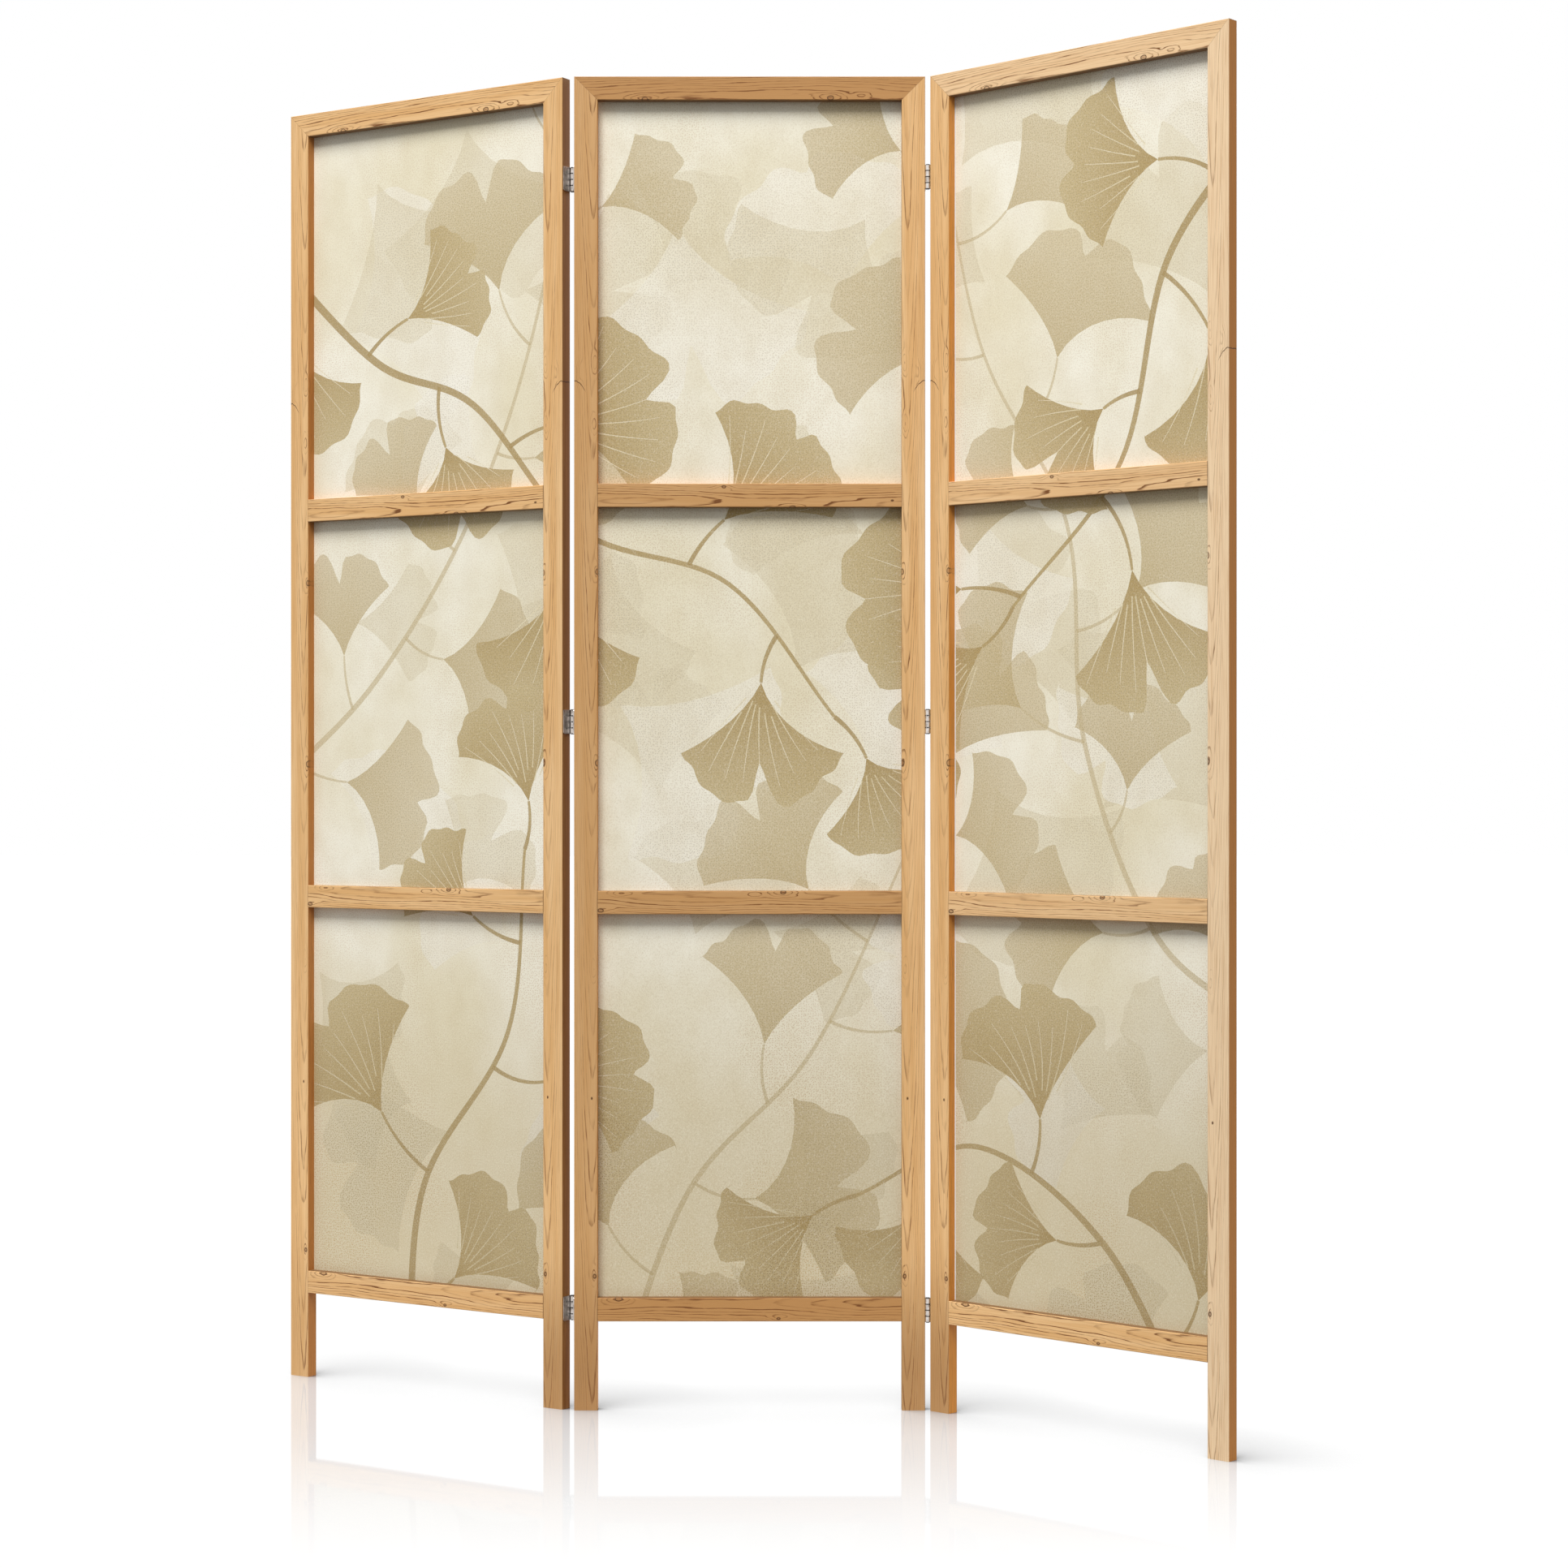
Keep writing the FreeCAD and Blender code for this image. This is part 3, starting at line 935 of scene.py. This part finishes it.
def printed_cloth(name):
    """Front of the cloth: a mottled cream ground, the print, the dots that the print is built up with, and painted
    shade that greys it low down.
    """
    shader = Shader(name)
    place = shader.node("ShaderNodeAttribute", {}, attribute_name="print_place").outputs["Vector"]
    print_ink = shader.node("ShaderNodeAttribute", {}, attribute_name="print_ink").outputs
    x, z, _ = shader.split(place)
    # Painted shade: the ground and the ink grow greyer low down
    low_share = shader.ease(z, *low_heights)
    cloud = shader.noise(place, cloud_scale, 3.0)
    ground = shader.mix(shader.ease(cloud, *cloud_ramp), ground_pale, ground_deep)
    ground = shader.mix(shader.math("MULTIPLY", low_share, low_ground_share), ground, shaded_ground_low)
    tint = shader.mix(shader.math("MULTIPLY", low_share, low_ink_share), print_ink["Color"], shaded_ink_low)
    printed = shader.mix(print_ink["Alpha"], ground, tint)
    mottle = shader.noise(place, mottle_scale, 4.0)
    printed = shader.mix(shader.ease(mottle, *mottle_ramp), printed, mottle_colour)
    dot = print_dots(shader, place)
    dot_share = shader.ease(shader.noise(place, patch_scale, 2.0), *patch_ramp)
    height_share = shader.math("MULTIPLY_ADD", low_share, 1 - high_dot_share, high_dot_share)
    dot_share = shader.math("MULTIPLY", dot_share, height_share)
    dot_share = shader.math("MAXIMUM", dot_share, shader.math("MULTIPLY", print_ink["Alpha"], ink_dot_share))
    dot_colour = shader.mix(print_ink["Alpha"], dot_on_ground, dot_on_ink)
    printed = shader.mix(shader.math("MULTIPLY", dot, dot_share), printed, dot_colour)
    grain = shader.noise(place, grain_scale, 3.0)
    printed = shader.mix(shader.ease(grain, *dark_fleck_ramp), printed, fleck_dark)
    printed = shader.mix(shader.ease(grain, *pale_fleck_ramp), printed, fleck_pale)
    # Painted light: a pale blue line along the inner edge of the right panel's left stile
    off_gap_light = shader.math("ABSOLUTE", shader.math("SUBTRACT", x, gap_light_place))
    printed = shader.mix(shader.ease(off_gap_light, *gap_light_ramp), printed, gap_light_colour)
    height = shader.math("MULTIPLY_ADD", grain, grain_relief, dot)
    roughness = shader.math("MULTIPLY_ADD", grain, grain_roughness, cloth_roughness)
    normal = shader.bump(height, cloth_bump, cloth_bump_depth)
    return shader.finish(Base_Color=printed, Roughness=roughness, Normal=normal)


def print_dots(shader, place):
    """Share of the dots at a place."""
    inputs = {"Vector": place, "Scale": dots_per_metre, "Randomness": dot_scatter}
    cells = shader.node("ShaderNodeTexVoronoi", inputs, voronoi_dimensions="2D")
    return shader.ease(cells.outputs["Distance"], *dot_ramp)


def plain_cloth(name):
    """Back of the cloth: white, with the fibres of a pressed felt."""
    shader = Shader(name)
    place = shader.node("ShaderNodeAttribute", {}, attribute_name="print_place").outputs["Vector"]
    fibres = shader.noise(place, felt_scale, 5.0)
    cloud = shader.noise(place, felt_cloud_scale, 3.0)
    base = shader.mix(shader.ease(fibres, *felt_ramp), felt_pale, felt_deep)
    base = shader.mix(shader.ease(cloud, *felt_cloud_ramp), base, felt_cloud)
    roughness = shader.math("MULTIPLY_ADD", fibres, fibre_felt_roughness, felt_roughness)
    normal = shader.bump(fibres, felt_bump, felt_bump_depth)
    return shader.finish(Base_Color=base, Roughness=roughness, Normal=normal)


def hang_cloths():
    shapes = print_design()
    faces = printed_cloth("printed_cloth"), plain_cloth("cloth_back")
    for index, panel in enumerate(panels.values()):
        low = Vector((index * panel_pitch + cloth_left, cloth_low.z))
        high = low + Vector((cloth_width, cloth_height))
        node = f"{panel.name}_cloth"
        name = f"{panel.name}_printed_cloth"
        piece = bpy.data.objects.new(name, sheet_mesh(name, *cut_print(shapes, low, high), low))
        for face in faces:
            piece.data.materials.append(face)
        piece.matrix_world = panel.to_world
        bpy.context.scene.collection.objects.link(piece)
        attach(piece, panel.name)
        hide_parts(node)


hang_cloths()


# Hinges, screws, staples and dowels

knuckle_count = 4
hinge_low, hinge_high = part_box("left_joint_top_leaf_on_middle_panel")
knuckle_height = (hinge_high.z - hinge_low.z) / knuckle_count
barrel_radius = panel_gap / 2
joint_names = ("left_joint", "right_joint")
hinge_axes = {name: Vector(joint["pos_m"]) for name, joint in zip(joint_names, frame["joints"])}
hinge_names = [(joint, level) for joint in joint_names for level in ("bottom", "middle", "top")]

# Finishes: the colour where bright, the colour where dull, brush marks in each metre and roughness
nickel_finish = (colour(222, 216, 211), colour(158, 150, 143), 2600.0, 0.2)
zinc_finish = (colour(208, 206, 200), colour(150, 147, 140), 3400.0, 0.28)
wire_finish = (colour(196, 198, 200), colour(140, 142, 146), 4200.0, 0.3)
brush_stretch_share = 0.08
mark_ramp = (0.45, 0.75, 0.0, 0.4)
mark_roughness = 0.18
mark_bump = 0.15
mark_depth = 0.05 * mm
patch_marks = 160.0
dull_ramp = (0.4, 0.7, 0.0, 0.8)
dull_roughness = 0.14

# Painted shade in the corners of the metal and between the knuckles of a hinge
crevice_shade = colour(58, 50, 45)
crevice_shade_reach = 2.0 * mm
crevice_shade_ramp = (0.25, 0.95, 0.85, 0.0)
knuckle_line_ramp = (0.4 * mm, 1.1 * mm, 0.85, 0.0)
barrel_ramp = (barrel_radius, barrel_radius * 1.15, 1.0, 0.0)

# Beech of the dowels, whose flecks are short across X and fine across Y and Z
beech_pale = colour(222, 190, 150)
beech_fleck = colour(188, 150, 108)
fleck_scales = (300, 1800, 1800)
fleck_ramp = (0.4, 0.7)
beech_roughness = 0.5
fleck_roughness = 0.2
beech_bump = 0.2
beech_bump_depth = 0.1 * mm


def plated_metal(name, bright, dull, brush, roughness, hinge=None):
    """Plated metal with brush marks along Z, dulled in patches, with painted shade in its corners and between the
    knuckles of a hinge.
    """
    shader = Shader(name)
    place = shader.object_place()
    brushed = shader.vector("MULTIPLY", place, (brush, brush, brush * brush_stretch_share))
    marks = shader.noise(brushed, 1.0, 3.0)
    patches = shader.noise(place, patch_marks, 3.0)
    base = shader.mix(shader.ease(patches, *dull_ramp), bright, dull)
    base = shader.mix(shader.ease(marks, *mark_ramp), base, dull)
    # Painted shade: darker where ambient occlusion finds the corners closed in
    open_share = shader.node("ShaderNodeAmbientOcclusion", {"Distance": crevice_shade_reach}).outputs["AO"]
    base = shader.mix(shader.ease(open_share, *crevice_shade_ramp), base, crevice_shade)
    if hinge:
        base = shader.mix(knuckle_shade(shader, place, hinge), base, crevice_shade)
    rough = shader.math("MULTIPLY_ADD", marks, mark_roughness, roughness)
    rough = shader.math("MULTIPLY_ADD", patches, dull_roughness, rough)
    normal = shader.bump(marks, mark_bump, mark_depth)
    return shader.finish(Base_Color=base, Metallic=1.0, Roughness=rough, Normal=normal)


def knuckle_shade(shader, place, hinge):
    """Share of the painted shade on the barrel of a hinge, in the line where one knuckle turns on the next."""
    x, y, z = shader.split(shader.vector("SUBTRACT", place, hinge))
    row = shader.math("DIVIDE", z, knuckle_height)
    off = shader.math("ABSOLUTE", shader.math("SUBTRACT", row, shader.math("ROUND", row)))
    line = shader.ease(shader.math("MULTIPLY", off, knuckle_height), *knuckle_line_ramp)
    from_axis = shader.vector("LENGTH", shader.join(x, y, 0.0))
    return shader.math("MULTIPLY", line, shader.ease(from_axis, *barrel_ramp))


def raw_beech(name):
    """Beech with its short flecks."""
    shader = Shader(name)
    flecks = shader.noise(shader.vector("MULTIPLY", shader.object_place(), fleck_scales), 1.0, 3.0)
    base = shader.mix(shader.ease(flecks, *fleck_ramp), beech_pale, beech_fleck)
    roughness = shader.math("MULTIPLY_ADD", flecks, fleck_roughness, beech_roughness)
    normal = shader.bump(flecks, beech_bump, beech_bump_depth)
    return shader.finish(Base_Color=base, Roughness=roughness, Normal=normal)


def finish_fittings():
    finishes = {
        "screw_steel": plated_metal("zinc_plate", *zinc_finish),
        "staple_wire": plated_metal("galvanised_wire", *wire_finish),
        "dowel_wood": raw_beech("raw_beech"),
    }
    for joint, level in hinge_names:
        hinge = f"{joint}_{level}"
        low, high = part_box(f"{hinge}_leaf_on_middle_panel")
        middle = (hinge_axes[joint].x, hinge_axes[joint].y, (low.z + high.z) / 2)
        finishes[hinge] = plated_metal(f"nickel_plate_{hinge}", *nickel_finish, middle)
    for subpart in frame["record"]["subparts"]:
        kind = subpart["material_slot"]
        if kind == "hinge_steel":
            kind = "_".join(subpart["node"].split("_")[:3])
        if kind in finishes:
            mesh = nodes[subpart["node"]].data
            mesh.materials.clear()
            mesh.materials.append(finishes[kind])


finish_fittings()


# Floor, light and camera

white = (1, 1, 1, 1)
floor_half = 30.0
floor_matt = (0.06, 0.06, 0.06, 1)
floor_roughness = 0.04

# The floor shines most under the screen, and glows to white for the eye alone
shine_middle = 0.2
shine_ramp = (0.1, 1.1, 0.4, 0.0)
shine_dimming = -0.917
glow_ramp = (0.9, 4.0, 0.947, 1.1)

# Short shadow beside each foot, away from the light
shadow_reach = 0.2
shadow_lean = (-1.2, -0.4, 0.0)
shadow_depth = 1.7

# Light of the world on the object, and as the eye sees it
world_light = 0.55
world_white = 1.0

# Lamps: place, the point they face, size and power
lamps = {
    "key": ((-1.8, -4.9, 9.0), (0, 0, 0.85), 4.2, 1040),
    "behind": ((1.8, 3.6, 3.4), (0, 0, 0.9), 2.4, 120),
}

# Camera, level and square to the middle panel
camera_place = Vector((0.066, -3.885, 0.803))
camera_lens = 70.0
camera_sensor = 36.0


def seen_share(shader):
    """1 for the rays that show a surface to the eye, straight, in a reflection or through glass."""
    ray = shader.node("ShaderNodeLightPath", {}).outputs
    straight = shader.math("MAXIMUM", ray["Is Camera Ray"], ray["Is Glossy Ray"])
    return shader.math("MAXIMUM", straight, ray["Is Transmission Ray"])


def white_floor(name):
    """White floor that reflects the screen a little."""
    shader = Shader(name)
    place = shader.object_place()
    off_middle = shader.math("ABSOLUTE", shader.math("SUBTRACT", shader.split(place)[1], shine_middle))
    shine = shader.ease(off_middle, *shine_ramp)
    glow = shader.ease(shader.vector("LENGTH", place), *glow_ramp)
    glow = shader.math("MULTIPLY_ADD", shine, shine_dimming, glow)
    normal = shader.node("ShaderNodeNewGeometry", {}).outputs["Normal"]
    leaned = shader.vector("NORMALIZE", shader.vector("ADD", normal, shadow_lean))
    inputs = {"Distance": shadow_reach, "Normal": leaned}
    clear = shader.node("ShaderNodeAmbientOcclusion", inputs).outputs["AO"]
    glow = shader.math("MULTIPLY", glow, shader.math("MULTIPLY_ADD", clear, shadow_depth, 1 - shadow_depth))
    glow = shader.math("MULTIPLY", seen_share(shader), glow)
    matt = shader.node("ShaderNodeBsdfDiffuse", {"Color": floor_matt}).outputs[0]
    gloss = shader.node("ShaderNodeBsdfGlossy", {"Color": white, "Roughness": floor_roughness}).outputs[0]
    both = shader.node("ShaderNodeMixShader", {0: shine, 1: matt, 2: gloss}).outputs[0]
    light = shader.node("ShaderNodeEmission", {"Color": white, "Strength": glow}).outputs[0]
    surface = shader.node("ShaderNodeAddShader", {0: both, 1: light}).outputs[0]
    shader.node("ShaderNodeOutputMaterial", {"Surface": surface})
    return shader.holder


def add_floor():
    corners = [(x * floor_half, y * floor_half, 0) for x, y in ((-1, -1), (1, -1), (1, 1), (-1, 1))]
    mesh = bpy.data.meshes.new("floor")
    mesh.from_pydata(corners, [], [(0, 1, 2, 3)])
    mesh.materials.append(white_floor("white_floor"))
    floor = bpy.data.objects.new("floor", mesh)
    bpy.context.scene.collection.objects.link(floor)


def add_world():
    shader = Shader("studio", bpy.data.worlds)
    strength = shader.ease(seen_share(shader), 0.0, 1.0, world_light, world_white)
    sky = shader.node("ShaderNodeBackground", {"Color": white, "Strength": strength}).outputs[0]
    shader.node("ShaderNodeOutputWorld", {"Surface": sky})
    bpy.context.scene.world = shader.holder


def add_lamp(name, place, target, size, power):
    lamp = bpy.data.lights.new(name, "AREA")
    lamp.energy = power
    lamp.size = size
    holder = bpy.data.objects.new(name, lamp)
    holder.location = place
    holder.rotation_euler = (Vector(target) - Vector(place)).to_track_quat("-Z", "Y").to_euler()
    bpy.context.scene.collection.objects.link(holder)


def add_camera():
    camera = bpy.data.cameras.new("camera")
    camera.lens = camera_lens
    camera.sensor_width = camera_sensor
    holder = bpy.data.objects.new("camera", camera)
    holder.location = camera_place
    holder.rotation_euler = (math.pi / 2, 0, 0)
    bpy.context.scene.collection.objects.link(holder)
    bpy.context.scene.camera = holder


add_floor()
add_world()
for lamp_name, lamp_values in lamps.items():
    add_lamp(lamp_name, *lamp_values)
add_camera()
bpy.context.scene.view_settings.view_transform = "Standard"
